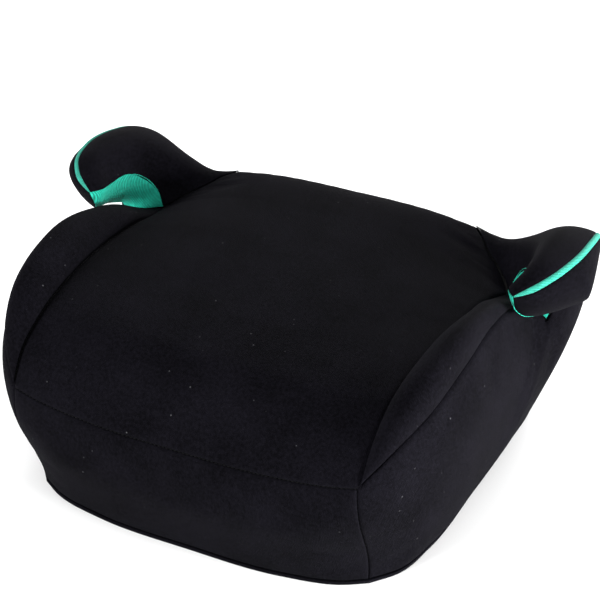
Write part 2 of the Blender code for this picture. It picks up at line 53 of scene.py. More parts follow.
# Looks of the cover.
FINE = 4  # grid lines for each CAD segment
BESIDE_SEAM = (0.03, 0.075, 0.13, 0.19)  # extra lines beside a seam, in CAD segments
SIM_FINE = 3  # simulation grid lines for each CAD segment
PRESSURE = 4.0  # that puffs the cloth
SIM_FRAMES = 20
PUFF_CAP = 1.6  # most that the cloth rises
PUFF_FLOOR = -0.6
PLAIN_PUFF = 0.8  # rise of a panel that isn't simulated
LINING_PUFF = 0.9
PUFF_RISE = 7.0  # distance from a seam over which the puff comes in
SEAM_WIDTH = 1.2
PUCKER_WIDTH = 5.0
SAG = 0.5  # large soft unevenness
THINNEST = 0.25  # least thickness of a cover panel
SEAM_GAP = 0.16
STITCH_PITCH = 3.4
STITCH_LENGTH = 2.7
STITCH_RADIUS = 0.26
STITCH_SIDES = 6
STITCH_RINGS = ((-0.5, 0.25), (-0.36, 0.85), (0, 1.0), (0.36, 0.85), (0.5, 0.25))  # (place, share of radius)

# How a cover panel is built: its thickness, and how deep its seams and the puckers beside them sink.
Sheet = namedtuple("Sheet", "thickness seam_depth pucker")
BODY_SHEET = Sheet(2.3, 2.3, 0.45)
GUIDE_SHEET = Sheet(1.6, 0.5, 0.225)
STRIP_SHEET = Sheet(1.6, 0.4, 0.225)
LINING_SHEET = Sheet(1.6, 0.05, 0)

# Segments of the CAD model along each stretch of seam.
ALONG_BOLSTER = 9
ALONG_GUIDE = 10
ACROSS_BOLSTER = 6
ACROSS_THROAT_SIDE = 2
ACROSS_GUIDE = ACROSS_BOLSTER + ACROSS_THROAT_SIDE
NOSE = 4
ELBOW_TO_REAR = ALONG_GUIDE - NOSE
ACROSS_SEAT = 12
DOWN_SKIRT = 6
ROUND_OUTER = 4
ACROSS_STRIP = 2

FOOT = 3.0
STRIP_WIDTH = 6.0
GUIDE_LIFT = 0.3
HEM_HEIGHT = 2.7
HEM_GATHERS = 170
HEM_POINTS = 900  # round the hem
# Outline across the hem: (how far inwards, height). It swells at its inner end, over an elastic cord.
HEM_SECTION = [(0.0, 1.35), (0.05, 2.3), (0.35, 2.62), (1.0, 2.62), (5.0, 2.3), (11.0, 2.05)]
HEM_SECTION += [(13.2, 2.35), (14.6, 2.62), (15.7, 2.1), (15.95, 1.35), (15.7, 0.6), (14.6, 0.06)]
HEM_SECTION += [(13.2, 0.4), (11.0, 0.35), (5.0, 0.1), (1.0, 0.02), (0.35, 0.06), (0.05, 0.45)]

# Corners of the right half (x, y, z).
FRONT_CORNER = (145, -169, 110)
FRONT_FOOT = (143, -139, FOOT)
REAR_SEAT = (110, 141, 158)
REAR_FOOT = (166, 158, FOOT)
THROAT_INNER = (159, 90, 135)
THROAT_SEAM = (183, 84, 130)
THROAT_OUTER = (193.5, 87, 121)
NOSE_TIP = (187, 19, 177)
ELBOW = (197.5, 86, 132)
GUIDE_REAR = (211, 152, 169)

# Knots between those corners.
INNER_SEAM = [(146, -150, 135), (146, -120, 151), (149, -60, 159), (153, 0, 154), (152, 36, 150)]
INNER_SEAM += [(154, 64, 143)]
OUTER_SEAM = [(163, -150, 133), (176, -120, 148), (182, -60, 160), (180, 0, 160), (180, 45, 151)]
SEAT_SIDE_SEAM = [(152, 100, 139), (143, 109, 144.5), (132, 117, 150.5), (122, 128, 156)]
GUIDE_REAR_EDGE = [(192, 150, 167), (162, 146, 156.5), (134, 142, 151.5)]
THROAT_SEAM_FRONT = [(171, 88, 132)]
THROAT_SIDE = [(188.5, 86, 125.5)]
THROAT_OUTER_EDGE = [(195.7, 87.5, 126.5)]
GUIDE_LOWER_EDGE = [(206, 98, 140), (213, 115, 150), (216, 134, 161)]
NOSE_LOWER_EDGE = [(187, 27, 161), (191, 35, 152), (196, 46, 147), (200, 64, 141)]
STRIP_LINE = [(200, 25, 184), (211, 38, 190), (219, 66, 192), (219, 112, 186), (216, 135, 179)]
LINING_SEAM = [(181, 25, 177.5), (182, 45, 173.5), (180, 68, 172), (175, 80, 167), (169, 87, 159)]
LINING_SEAM += [(163.5, 91, 148)]
FRONT_SEAM = [(125, -172.5, 107.5), (80, -176, 104), (0, -177, 102.5)]
FRONT_FOOT_EDGE = [(125, -150, FOOT), (80, -161, FOOT), (0, -164, FOOT)]
SIDE_FOOT_EDGE = [(159, -118, FOOT), (168, -80, FOOT), (172, 0, FOOT), (174, 80, FOOT), (173, 130, FOOT)]
SEAT_REAR_EDGE = [(80, 142, 162), (0, 143, 164)]
REAR_FOOT_EDGE = [(145, 166, FOOT), (0, 170, FOOT)]

# The seat's centre line: (y, height).
SEAT_MIDDLE = [(-177, 102.5), (-159, 130), (-134, 149), (-105, 156), (-76, 159.5), (-45, 162), (-10, 164.5)]
SEAT_MIDDLE += [(30, 166.5), (72, 168.4), (100, 169.3), (120, 168.5), (143, 164)]

# How far the bolsters' ribs rise from their two seams: (share of the way along, amount).
BOLSTER_INNER_RISE = [(0, 0), (0.3, 23), (0.55, 26), (0.75, 14), (0.9, 2), (1, 0)]
BOLSTER_OUTER_RISE = [(0, 0), (0.3, 33), (0.55, 37), (0.75, 20), (0.9, 6), (1, 2)]

# Handles of the side panels' and the belt guides' ribs: (share of the way along, x, y, z).
SIDE_TOP = [(0, 3, -6, -44), (0.2, 18, -5, -44), (0.43, 18, -28, -36), (0.52, 12, -12, -40)]
SIDE_TOP += [(0.71, 9, 13, -42), (0.85, 4, 5, -44), (1, -11, 0, -44)]
SIDE_FOOT = [(0, 4, -6, 44), (0.2, 21, -1, 44), (0.45, 22, 0, 44), (0.7, 18, 0, 44)]
SIDE_FOOT += [(0.85, 14, 0, 44), (1, 4, 2, 44)]
GUIDE_TOP = [(0, -46, 8, 22), (0.4, -60, 10, 26), (0.7, -48, 4, 16), (1, -20, 0, 2)]
GUIDE_FOOT = [(0, 46, -12, -4), (0.4, 58, -12, -16), (0.7, 42, -6, -8), (1, 20, 0, -4)]
GUIDE_MOUTH_FADE = 3.2  # how fast the guide's inner panel leaves the line of the lining's seam
GUIDE_REAR_FADE = 4  # and that of the rear edge


def smooth(knots, at):
    """Catmull-Rom curve through (position, value) knots, read at the given positions."""
    places = np.array([k[0] for k in knots], float)
    values = np.array([k[1] for k in knots], float)
    slopes = np.gradient(values, places, axis=0)
    at = np.clip(np.asarray(at, float), places[0], places[-1])
    i = np.clip(np.searchsorted(places, at, side="right") - 1, 0, len(places) - 2)
    step = places[i + 1] - places[i]
    t = (at - places[i]) / step
    if values.ndim > 1:
        t = t[:, None]
        step = step[:, None]
    ahead = (3 - 2 * t) * t * t
    return (
        values[i] * (1 - ahead)
        + values[i + 1] * ahead
        + slopes[i] * step * t * (1 - t) ** 2
        - slopes[i + 1] * step * t * t * (1 - t)
    )


def lengths(curve):
    """The length along a curve up to each of its points."""
    return np.concatenate([[0], np.cumsum(np.linalg.norm(np.diff(curve, axis=0), axis=1))])


class Grid:
    """Which positions the patches' lines take, counted in CAD segments."""

    def __init__(self, fine, beside):
        self.fine, self.beside = fine, beside

    def lines(self, *stretches):
        """Positions from 0 to the whole count, from each stretch's (count, seam at start, seam at end)."""
        found, offset = {0.0}, 0
        for count, at_start, at_end in stretches:
            found |= {round(offset + k / self.fine, 4) for k in range(count * self.fine + 1)}
            found |= {round(offset + b, 4) for b in self.beside if at_start}
            found |= {round(offset + count - b, 4) for b in self.beside if at_end}
            offset += count
        return np.array(sorted(found))


def read_curve(values, length, at):
    """Values that are given at each length along a curve, read at other lengths."""
    return np.stack([np.interp(at, length, values[:, k]) for k in range(3)], axis=1)


def seam(points, lines):
    """Points along a smooth curve through the given points, at those lines."""
    points = np.array(points, float)
    length = lengths(points)
    fine = smooth(list(zip(length, points)), np.linspace(0, length[-1], 60 * len(points)))
    return read_curve(fine, lengths(fine), lines / lines[-1] * lengths(fine)[-1])


def mirrored(points):
    """The same points on the other side of the seat."""
    return np.asarray(points, float) * (-1, 1, 1)


def whole(half):
    """A curve across the middle, from its right-hand half, which ends at x = 0."""
    return [tuple(mirrored(p)) for p in half] + list(half[:-1])[::-1]


def join(*curves):
    """One curve from curves that each start where the one before ends."""
    return np.concatenate([curves[0]] + [c[1:] for c in curves[1:]])


def along(knots, share):
    """Rib handles at those shares of the way, from knots of (share, x, y, z)."""
    return np.stack([smooth([(k[0], k[1 + i]) for k in knots], share) for i in range(3)], axis=1)


def coons(start, end, left, right, u, v):
    """Surface between four curves. start and end run left to right; left and right run from start to end."""
    u = u[None, :, None]
    v = v[:, None, None]
    ruled = (1 - v) * start[None] + v * end[None] + (1 - u) * left[:, None] + u * right[:, None]
    corners = (1 - v) * ((1 - u) * start[0] + u * start[-1]) + v * ((1 - u) * end[0] + u * end[-1])
    return ruled - corners


def arched(top, foot, top_pull, foot_pull, v):
    """Surface of cubic Bezier ribs from each top point to its foot point. The pulls are the ribs' handles."""
    v = v[:, None, None]
    return (
        (1 - v) ** 3 * top
        + 3 * (1 - v) ** 2 * v * (top + top_pull)
        + 3 * (1 - v) * v * v * (foot + foot_pull)
        + v**3 * foot
    )


class Lines:
    """The line positions of every stretch, as shares from 0 to 1."""

    def __init__(self, grid):
        on, off = True, False
        self.inner = grid.lines((ALONG_BOLSTER, on, on))
        self.guide = grid.lines((ALONG_GUIDE, on, on))
        self.seat = grid.lines((ALONG_BOLSTER, on, on), (ALONG_GUIDE, on, on))
        self.bolster = grid.lines((ACROSS_BOLSTER, on, on))
        self.throat_side = grid.lines((ACROSS_THROAT_SIDE, on, on))
        self.throat = grid.lines((ACROSS_BOLSTER, on, on), (ACROSS_THROAT_SIDE, on, on))
        self.nose_on = grid.lines((NOSE, on, off))
        self.to_rear = grid.lines((ELBOW_TO_REAR, off, on))
        self.across_guide = grid.lines((ACROSS_GUIDE, on, on))
        self.side = grid.lines(
            (ALONG_BOLSTER, on, on), (ACROSS_THROAT_SIDE, on, on), (NOSE, on, off), (ELBOW_TO_REAR, off, on)
        )
        self.across = grid.lines((ACROSS_SEAT, on, on))
        self.rear = grid.lines((ACROSS_GUIDE, on, on), (ACROSS_SEAT, on, on), (ACROSS_GUIDE, on, on))
        self.down = grid.lines((DOWN_SKIRT, on, on))
        self.round_outer = grid.lines((ROUND_OUTER, on, on))
        self.strip = grid.lines((ACROSS_STRIP, off, off))


def curves(n):
    """Every seam curve of the right half, and the ones that cross the middle."""
    c = {}
    c["inner_seam"] = seam([FRONT_CORNER, *INNER_SEAM, THROAT_INNER], n.inner)
    c["outer_seam"] = seam([FRONT_CORNER, *OUTER_SEAM, THROAT_SEAM], n.inner)
    c["seat_side"] = seam([THROAT_INNER, *SEAT_SIDE_SEAM, REAR_SEAT], n.guide)
    c["guide_rear"] = seam([GUIDE_REAR, *GUIDE_REAR_EDGE, REAR_SEAT], n.across_guide)
    c["throat_seam"] = seam([THROAT_INNER, *THROAT_SEAM_FRONT, THROAT_SEAM], n.bolster)
    c["throat_side"] = seam([THROAT_SEAM, *THROAT_SIDE, THROAT_OUTER], n.throat_side)
    c["throat_outer"] = seam([THROAT_OUTER, *THROAT_OUTER_EDGE, ELBOW], n.nose_on)
    c["guide_lower"] = seam([ELBOW, *GUIDE_LOWER_EDGE, GUIDE_REAR], n.to_rear)
    c["nose_lower"] = seam([NOSE_TIP, *NOSE_LOWER_EDGE, ELBOW], n.nose_on)
    c["strip"] = seam([NOSE_TIP, *STRIP_LINE, GUIDE_REAR], n.guide)
    c["lining"] = seam([NOSE_TIP, *LINING_SEAM, THROAT_INNER], n.across_guide)
    c["side_foot"] = seam([FRONT_FOOT, *SIDE_FOOT_EDGE, REAR_FOOT], n.side)
    c["front_seam"] = seam(whole([FRONT_CORNER, *FRONT_SEAM]), n.across)
    c["front_foot"] = seam(whole([FRONT_FOOT, *FRONT_FOOT_EDGE]), n.across)
    c["seat_rear"] = seam(whole([REAR_SEAT, *SEAT_REAR_EDGE]), n.across)
    c["rear_foot"] = seam(whole([REAR_FOOT, *REAR_FOOT_EDGE]), n.rear)
    return c


def skirt_pulls(n_share, top_knot, foot_knot, top_middle, foot_middle):
    """Rib handles of the front and rear panels, which end like the side panels and bulge in the middle."""
    across = 2 * n_share - 1
    middle = 1 - np.abs(across)[:, None] ** 4
    side = np.sign(across)[:, None] * np.abs(across)[:, None] ** 9 * (1, 0, 0)
    lift = side * top_knot[1] + (0, *top_knot[2:]) + middle * top_middle
    drop = side * foot_knot[1] + (0, *foot_knot[2:]) + middle * foot_middle
    return lift, drop


def seat_patch(n, c):
    """The seat's top, whose centre line has the heights of SEAT_MIDDLE."""
    right = join(c["inner_seam"], c["seat_side"])
    across = n.across / n.across[-1]
    seat = coons(c["front_seam"], c["seat_rear"], mirrored(right), right, across, n.seat / n.seat[-1])
    line = seat[:, np.argmin(np.abs(across - 0.5))]
    crown = smooth(SEAT_MIDDLE, line[:, 1]) - line[:, 2]
    seat[:, :, 2] += crown[:, None] * (1 - np.abs(2 * across - 1) ** 2.4)
    return seat


def bolster_patch(n, c):
    """The right bolster. Its last rib blends into the throat's seam."""
    share = n.inner / n.inner[-1]
    inner, outer = c["inner_seam"], c["outer_seam"]
    rise = smooth(BOLSTER_INNER_RISE, share)
    outer_rise = smooth(BOLSTER_OUTER_RISE, share)
    start_pull = np.stack([0.15 * (outer - inner)[:, 0], 0 * share, rise], axis=1)
    end_pull = np.stack([0.1 * outer_rise, 0 * share, outer_rise], axis=1)
    bolster = arched(inner, outer, start_pull, end_pull, n.bolster / n.bolster[-1])
    fade = np.clip((share - 0.75) / 0.25, 0, 1) ** 2
    bolster += fade[None, :, None] * (c["throat_seam"] - bolster[:, -1])[:, None]
    return bolster.transpose(1, 0, 2)


def side_patch(n, c):
    """The right side panel, evened out below the throat."""
    top = join(c["outer_seam"], c["throat_side"], c["throat_outer"], c["guide_lower"])
    share = n.side / n.side[-1]
    side = arched(top, c["side_foot"], along(SIDE_TOP, share), along(SIDE_FOOT, share), n.down / n.down[-1])
    near_throat = np.clip(1 - np.abs(share - 0.58) / 0.3, 0, 1)[None, 1:-1, None]
    for _ in range(40):
        beside = side[1:-1, :-2] + side[1:-1, 2:]
        side[1:-1, 1:-1] += near_throat * (0.25 * beside - 0.5 * side[1:-1, 1:-1])
    return side


def body_patches(n, c):
    """Patches of the seat body's cover: {name: grid of points}."""
    down, across = n.down / n.down[-1], n.across / n.across[-1]
    patches = {"seat": seat_patch(n, c)}
    lift, drop = skirt_pulls(across, SIDE_TOP[0], SIDE_FOOT[0], (0, -10, 8), (0, -4, 0))
    patches["front"] = arched(c["front_seam"], c["front_foot"], lift, drop, down)
    lift, drop = skirt_pulls(n.rear / n.rear[-1], SIDE_TOP[-1], SIDE_FOOT[-1], (0, 10, 0), (0, 6, 0))
    top = join(mirrored(c["guide_rear"]), c["seat_rear"], c["guide_rear"][::-1])
    patches["rear"] = arched(top, c["rear_foot"], lift, drop, down)

    for name, grid in (("bolster", bolster_patch(n, c)), ("side", side_patch(n, c))):
        patches["right_" + name] = grid
        patches["left_" + name] = mirrored(grid)
    return patches


def guide_patches(n, c):
    """Patches of the right belt guide's cover."""
    line = c["strip"]
    share = n.guide / n.guide[-1]
    half = STRIP_WIDTH / 2 * np.sqrt(np.clip(np.minimum(share, 1 - share) * 10, 0, 1))
    inward = np.stack([-0.75 * half, 0 * half, 0.6 * half], axis=1)
    strip_in, strip_out = line + inward, line - inward

    down = n.across_guide / n.across_guide[-1]
    inner = arched(strip_in, c["seat_side"], along(GUIDE_TOP, share), along(GUIDE_FOOT, share), down)
    back = share[None, :, None]
    front = (1 - back) ** GUIDE_MOUTH_FADE * (c["lining"] - inner[:, 0])[:, None]
    rear = back**GUIDE_REAR_FADE * (c["guide_rear"] - inner[:, -1])[:, None]
    inner = inner + front + rear

    lower = join(c["nose_lower"], c["guide_lower"])
    width = np.linalg.norm(strip_out - lower, axis=1)[:, None] ** 2
    pulls = width * (0.005, -0.0015, -0.005), width * (0.008, -0.0015, 0.005)
    outer = arched(strip_out, lower, *pulls, n.round_outer / n.round_outer[-1])

    throat = join(c["throat_seam"], c["throat_side"])
    tip = np.repeat(c["lining"][:1], len(throat), axis=0)
    edge = join(c["nose_lower"], c["throat_outer"][::-1])
    lining = coons(tip, throat, c["lining"], edge, n.throat / n.throat[-1], down)

    s = (n.strip / n.strip[-1])[:, None, None]
    inside = np.clip(np.minimum(share, 1 - share) * 20, 0, 1)[None, :, None]
    strip = (1 - s) * strip_in + s * strip_out + 4 * s * (1 - s) * inside * (0.7, 0, 0.9)
    return {"inner": inner, "outer": outer, "lining": lining, "strip": strip}


def quads_of(index):
    """The four-sided faces of a grid of point numbers."""
    return np.stack([index[:-1, :-1], index[:-1, 1:], index[1:, 1:], index[1:, :-1]], axis=-1).reshape(-1, 4)


class Skin:
    """Patches welded where they meet, with a normal at each point that neighbours share."""

    def __init__(self, patches, round_to=0.02):
        self.grids, self.points = {}, []
        places = {}
        for name, grid in patches.items():
            index = np.zeros(grid.shape[:2], int)
            for i, row in enumerate(grid):
                for j, point in enumerate(row):
                    key = tuple(np.round(point / round_to).astype(int))
                    if key not in places:
                        places[key] = len(self.points)
                        self.points.append(point)
                    index[i, j] = places[key]
            self.grids[name] = index
        self.points = np.array(self.points)
        self.turned = {}
        for name in patches:
            self.turned[name] = self._is_turned(name)
        self.normals = self._normals()

    def patch(self, name):
        """A patch's grid of points, and that of its normals."""
        return self.points[self.grids[name]], self.normals[self.grids[name]]

    def quads(self, name):
        quads = quads_of(self.grids[name])
        return quads[:, ::-1] if self.turned.get(name) else quads

    def _face_normals(self, quads):
        a, b, c, d = (self.points[quads[:, k]] for k in range(4))
        return np.cross(c - a, d - b)

    def _is_turned(self, name):
        """Whether the patch's own order faces inwards, which is towards its point inside the seat."""
        quads = self.quads(name)
        middle = self.points[quads].mean(axis=1)
        inside = np.array(INSIDE[name.split("_")[-1]]) * (-1 if middle[:, 0].mean() < -1 else 1, 1, 1)
        return (self._face_normals(quads) * (middle - inside)).sum() < 0

    def _normals(self):
        """Each point's normal: its faces' normals, weighted by the angle that each has there."""
        total = np.zeros_like(self.points)
        for name in self.grids:
            quads = self.quads(name)
            face = self._face_normals(quads)
            size = np.linalg.norm(face, axis=1)[:, None]
            face = face / np.maximum(size, 1e-9) * (size > 1e-6)
            for k in range(4):
                here = self.points[quads[:, k]]
                ahead = self.points[quads[:, (k + 1) % 4]] - here
                behind = self.points[quads[:, k - 1]] - here
                sizes = np.linalg.norm(ahead, axis=1) * np.linalg.norm(behind, axis=1)
                cosine = (ahead * behind).sum(axis=1) / np.maximum(sizes, 1e-9)
                angle = np.arccos(np.clip(cosine, -1, 1))
                np.add.at(total, quads[:, k], face * angle[:, None])
        return total / np.maximum(np.linalg.norm(total, axis=1), 1e-9)[:, None]


# A point inside the seat for each kind of patch (x, y, z), for the right half.
INSIDE = {
    "seat": (0, -20, 60),
    "front": (0, 0, 70),
    "rear": (0, 0, 70),
    "side": (100, 0, 70),
    "bolster": (163, -40, 120),
    "inner": (190, 100, 150),
    "outer": (190, 90, 170),
    "lining": (190, 60, 240),
    "strip": (190, 90, 150),
}


def seam_distance(points):
    """How far each point of a patch lies from its nearest edge, its first column and its first row."""
    across = np.linalg.norm(np.diff(points, axis=1), axis=2).cumsum(axis=1)
    across = np.pad(across, ((0, 0), (1, 0)))
    down = np.linalg.norm(np.diff(points, axis=0), axis=2).cumsum(axis=0)
    down = np.pad(down, ((1, 0), (0, 0)))
    ends = [across, across[:, -1:] - across, down, down[-1:] - down]
    return np.min(ends, axis=0), across, down


def rough(points, size, seed=0.0):
    """Smooth noise from -1 to 1 at each point, with features of that size in mm."""
    flat = points.reshape(-1, 3) / size + seed
    return np.array([noise.noise(Vector(p)) for p in flat]).reshape(points.shape[:-1])


def cloth_object(name, grid, normals):
    """A coarse grid of a panel, set up as cloth that is held at its rim."""
    index = np.arange(grid[..., 0].size).reshape(grid.shape[:2])
    quads, points = quads_of(index), grid.reshape(-1, 3)
    a, b, c, d = (points[quads[:, k]] for k in range(4))
    if (np.cross(c - a, d - b) * normals.reshape(-1, 3)[quads[:, 0]]).sum() < 0:
        quads = quads[:, ::-1]
    mesh = bpy.data.meshes.new(name)
    mesh.from_pydata((points * MM).tolist(), [], quads.tolist())
    obj = bpy.data.objects.new(name, mesh)
    bpy.context.scene.collection.objects.link(obj)
    held = obj.vertex_groups.new(name="held")
    rim = set(index[0]) | set(index[-1]) | set(index[:, 0]) | set(index[:, -1])
    held.add([int(i) for i in sorted(rim)], 1.0, "REPLACE")
    cloth = obj.modifiers.new("cloth", "CLOTH")
    settings = cloth.settings
    settings.quality = 6
    settings.vertex_group_mass = "held"
    settings.use_pressure = True
    settings.uniform_pressure_force = PRESSURE
    settings.shrink_min = -0.008
    settings.tension_stiffness = 12
    settings.compression_stiffness = 12
    settings.bending_stiffness = 0.4
    settings.effector_weights.gravity = 0
    cloth.collision_settings.use_collision = False
    cloth.point_cache.frame_start = 1
    cloth.point_cache.frame_end = SIM_FRAMES
    return obj


def simulated(name, grid, normals):
    """Puffs a coarse grid of a panel as cloth, and returns how far each of its points rose."""
    obj = cloth_object(name + "_sim", grid, normals)
    scene = bpy.context.scene
    for step in range(1, SIM_FRAMES + 1):
        scene.frame_set(step)
    evaluated = obj.evaluated_get(bpy.context.evaluated_depsgraph_get())
    moved = np.empty(grid.size, np.float32)
    evaluated.data.vertices.foreach_get("co", moved)
    scene.frame_set(1)
    bpy.data.objects.remove(obj)
    return ((moved.reshape(grid.shape) / MM - grid) * normals).sum(axis=-1)


def read_at(values, from_rows, from_cols, rows, cols):
    """A grid of values, read at other line positions."""
    down = np.stack([np.interp(rows, from_rows, values[:, j]) for j in range(values.shape[1])], axis=1)
    return np.stack([np.interp(cols, from_cols, down[i]) for i in range(len(rows))], axis=0)


def make(name, points, faces, material, uv=None):
    """A smooth-shaded piece from points in millimetres, which rides on the seat's one body."""
    mesh = bpy.data.meshes.new(name)
    points = (np.asarray(points) + (0, SHIFT_Y, 0)) * MM
    mesh.from_pydata(points.tolist(), [], faces)
    mesh.validate()
    if uv is not None:
        layer = mesh.uv_layers.new(name="weave")
        corner = np.empty(len(mesh.loops), np.int32)
        mesh.loops.foreach_get("vertex_index", corner)
        layer.data.foreach_set("uv", uv[corner].astype(np.float32).ravel())
    mesh.materials.append(material)
    mesh.polygons.foreach_set("use_smooth", [True] * len(mesh.polygons))
    obj = bpy.data.objects.new(name, mesh)
    bpy.context.scene.collection.objects.link(obj)
    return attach(obj, "root")


def relief(points, rise, sheet):
    """How far the cover's outside stands above its patch: puffed, sunk and puckered at its seams."""
    from_seam = seam_distance(points)[0]
    puckers = 0.5 + 0.5 * rough(points, 5.5, 3.1) + 0.35 * rough(points, 2.6, 8.4)
    offset = rise * (1 - np.exp(-from_seam / PUFF_RISE))
    offset = offset - sheet.seam_depth * np.exp(-from_seam / SEAM_WIDTH)
    offset = offset - sheet.pucker * puckers * np.exp(-from_seam / PUCKER_WIDTH)
    return offset + SAG * rough(points, 42, 1.7) * (1 - np.exp(-from_seam / 14))


def from_edge(points):
    """For each point on a patch's edge, the direction into the patch. It is zero elsewhere."""
    pull = np.zeros_like(points)
    pull[0] += points[1] - points[0]
    pull[-1] += points[-2] - points[-1]
    pull[:, 0] += points[:, 1] - points[:, 0]
    pull[:, -1] += points[:, -2] - points[:, -1]
    size = np.linalg.norm(pull, axis=-1)[..., None]
    return np.where(size > 1e-6, pull / np.maximum(size, 1e-6), 0)


def sheet_faces(shape, turned):
    """Faces of a closed sheet: its top grid's, its bottom grid's and the wall round them."""
    count = shape[0] * shape[1]
    index = np.arange(count).reshape(shape)
    quads = quads_of(index)
    loop = list(index[0]) + list(index[1:, -1]) + list(index[-1, -2::-1]) + list(index[-2:0:-1, 0])
    walls = [[int(i) for i in (a, b, b + count, a + count)] for a, b in zip(loop, loop[1:] + loop[:1])]
    if turned:
        quads = quads[:, ::-1]
    else:
        walls = [wall[::-1] for wall in walls]
    return quads.tolist() + (quads[:, ::-1] + count).tolist() + walls


def panel(name, node, skin, patch, rise, sheet, material):
    """One cover panel: a thin closed piece in place of that CAD node."""
    points, normals = skin.patch(patch)
    from_seam, across, down = seam_distance(points)
    offset = relief(points, rise, sheet)
    thinned = sheet.thickness * (1 - 0.7 * np.exp(-from_seam / 2.5))
    inward = SEAM_GAP * from_edge(points)
    top = points + normals * offset[..., None] + inward
    low = points - normals * np.maximum(thinned, THINNEST - offset)[..., None] + inward
    both = np.concatenate([top.reshape(-1, 3), low.reshape(-1, 3)])
    uv = np.tile(np.stack([across, down], axis=-1).reshape(-1, 2) * MM, (2, 1))
    obj = make(name, both, sheet_faces(points.shape[:2], skin.turned[patch]), material, uv)
    weld(obj)
    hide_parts(node)
    return obj


def weld(obj):
    """Joins the points that a patch's pointed end has in one place."""
    mesh = bmesh.new()
    mesh.from_mesh(obj.data)
    bmesh.ops.remove_doubles(mesh, verts=mesh.verts, dist=1e-6)
    bmesh.ops.recalc_face_normals(mesh, faces=mesh.faces)
    mesh.to_mesh(obj.data)
    mesh.free()


class Nodes:
    """Short calls to build one material's node tree."""

    def __init__(self, name):
        self.material = bpy.data.materials.new(name)
        self.material.use_nodes = True
        self.tree = self.material.node_tree
        self.shader = self.tree.nodes["Principled BSDF"]

    def add(self, kind, _out=0, _values=None, **inputs):
        node = self.tree.nodes.new(kind)
        for key, value in (_values or {}).items():
            setattr(node, key, value)
        for key, value in inputs.items():
            self.put(node.inputs[key.replace("_", " ")], value)
        return node.outputs[_out]

    def put(self, socket, value):
        if isinstance(value, bpy.types.NodeSocket):
            self.tree.links.new(value, socket)
        else:
            socket.default_value = value

    def shade(self, **inputs):
        for key, value in inputs.items():
            self.put(self.shader.inputs[key.replace("_", " ")], value)

    def place(self):
        return self.add("ShaderNodeTexCoord", "Object")

    def noise(self, scale, detail=2.0, roughness=0.5):
        inputs = {"Vector": self.place(), "Scale": scale, "Detail": detail, "Roughness": roughness}
        return self.add("ShaderNodeTexNoise", "Fac", **inputs)

    def cells(self, scale, output="Distance", feature="F1"):
        values = {"feature": feature}
        return self.add("ShaderNodeTexVoronoi", output, values, Vector=self.place(), Scale=scale)

    def edges(self, low, high):
        """From 0 where the surface is flat or hollow to 1 on a ridge."""
        return self.ramp(self.add("ShaderNodeNewGeometry", "Pointiness"), low, high)

    def ramp(self, fac, low, high, low_value=0.0, high_value=1.0):
        inputs = {"From_Min": low, "From_Max": high, "To_Min": low_value, "To_Max": high_value}
        return self.add("ShaderNodeMapRange", "Result", Value=fac, **inputs)

    def math(self, operation, a, b=0.0):
        node = self.tree.nodes.new("ShaderNodeMath")
        node.operation = operation
        self.put(node.inputs[0], a)
        self.put(node.inputs[1], b)
        return node.outputs[0]

    def mix(self, fac, a, b):
        node = self.tree.nodes.new("ShaderNodeMix")
        node.data_type = "RGBA"
        for socket, value in zip((node.inputs[0], node.inputs[6], node.inputs[7]), (fac, a, b)):
            self.put(socket, value)
        return node.outputs[2]

    def bump(self, height, distance, strength=1.0, normal=None):
        node = self.tree.nodes.new("ShaderNodeBump")
        node.inputs["Strength"].default_value = strength
        node.inputs["Distance"].default_value = distance
        self.put(node.inputs["Height"], height)
        if normal:
            self.put(node.inputs["Normal"], normal)
        return node.outputs[0]

    def wave(self, axis, pitch, distortion=0.0, place=None):
        """Bands from 0 to 1 across the weave's own directions, one for each pitch in metres."""
        where = place or self.add("ShaderNodeUVMap", "UV", {"uv_map": "weave"})
        values = {"wave_type": "BANDS", "bands_direction": axis, "wave_profile": "SIN"}
        scale = math.pi / 10 / pitch
        return self.add("ShaderNodeTexWave", "Fac", values, Vector=where, Scale=scale, Distortion=distortion)


def knit(name):
    """Fine black stretch knit: wales and courses, soft fuzz, faint mottling, lint and lighter worn edges."""
    n = Nodes(name)
    dark, light, ridge = (0.0008, 0.0007, 0.0012, 1), (0.0034, 0.0031, 0.0048, 1), (0.006, 0.0057, 0.008, 1)
    wales = n.wave("X", 0.0012, 0.6)
    courses = n.wave("Y", 0.0009, 0.6)
    stitches = n.math("MULTIPLY", wales, courses)
    fuzz = n.noise(1500, 3)
    mottle = n.noise(22, 3)
    grain = n.noise(420)
    tone = n.math("ADD", n.math("MULTIPLY", mottle, 0.45), n.math("MULTIPLY", grain, 0.55))
    colour = n.mix(n.ramp(tone, 0.35, 0.68), dark, light)
    colour = n.mix(n.math("MULTIPLY", n.ramp(stitches, 0.3, 1.0), 0.25), colour, light)
    colour = n.mix(n.math("MULTIPLY", n.edges(0.52, 0.62), 0.5), colour, ridge)
    few = n.ramp(n.noise(61, 0), 0.6, 0.66)
    lint = n.math("MULTIPLY", n.ramp(n.cells(105), 0.085, 0.04), few)
    colour = n.mix(n.math("MULTIPLY", lint, 0.5), colour, (0.07, 0.07, 0.075, 1))
    n.shade(Base_Color=colour, Roughness=n.ramp(fuzz, 0.3, 0.7, 0.78, 0.95))
    n.shade(Sheen_Weight=0.004, Sheen_Roughness=0.45, Sheen_Tint=(0.85, 0.88, 1, 1), Specular_IOR_Level=0.02)
    weave = n.bump(stitches, 0.00022, 0.7)
    n.shade(Normal=n.bump(fuzz, 0.00035, 0.6, weave))
    return n.material


